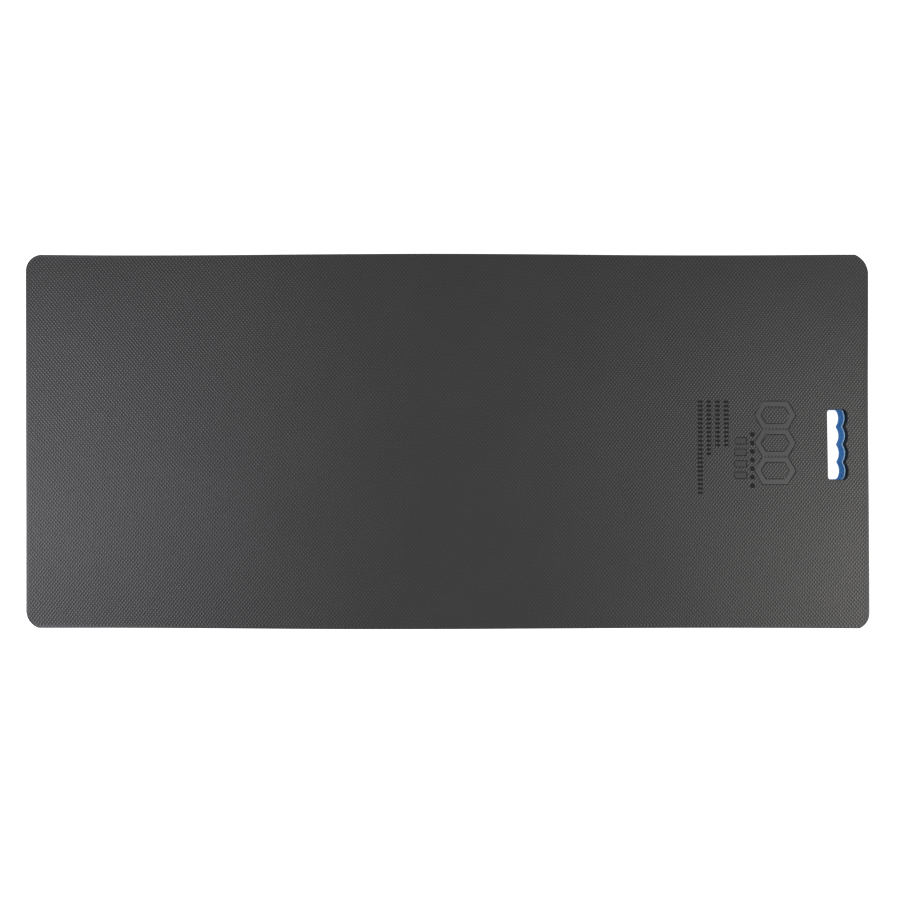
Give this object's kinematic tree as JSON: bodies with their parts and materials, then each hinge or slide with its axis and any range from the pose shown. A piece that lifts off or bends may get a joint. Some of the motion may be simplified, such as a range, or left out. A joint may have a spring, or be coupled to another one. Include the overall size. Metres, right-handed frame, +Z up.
{
  "type": "kneeling pad",
  "caption": "Large flat two-tone foam kneeling mat with rounded corners, a finely embossed top and a finger-scalloped hand slot through one end.",
  "frame": {"origin": "middle of the face that lies on the ground", "axes": "+X along the length towards the hand slot, +Y across the width, +Z up through the thickness"},
  "size_m": [1.2, 0.533, 0.03],
  "materials": {
    "charcoal_foam": "matt, embossed with a fine diamond grid",
    "bond_adhesive": "matt, pale blue, seen only as a thin line at the joint",
    "blue_foam": "matt, fine closed cells on its cut edges"
  },
  "bodies": {
    "root": {"cover_ply": "charcoal_foam", "bond_layer": "bond_adhesive", "cushion_ply": "blue_foam"}
  },
  "joints": []
}
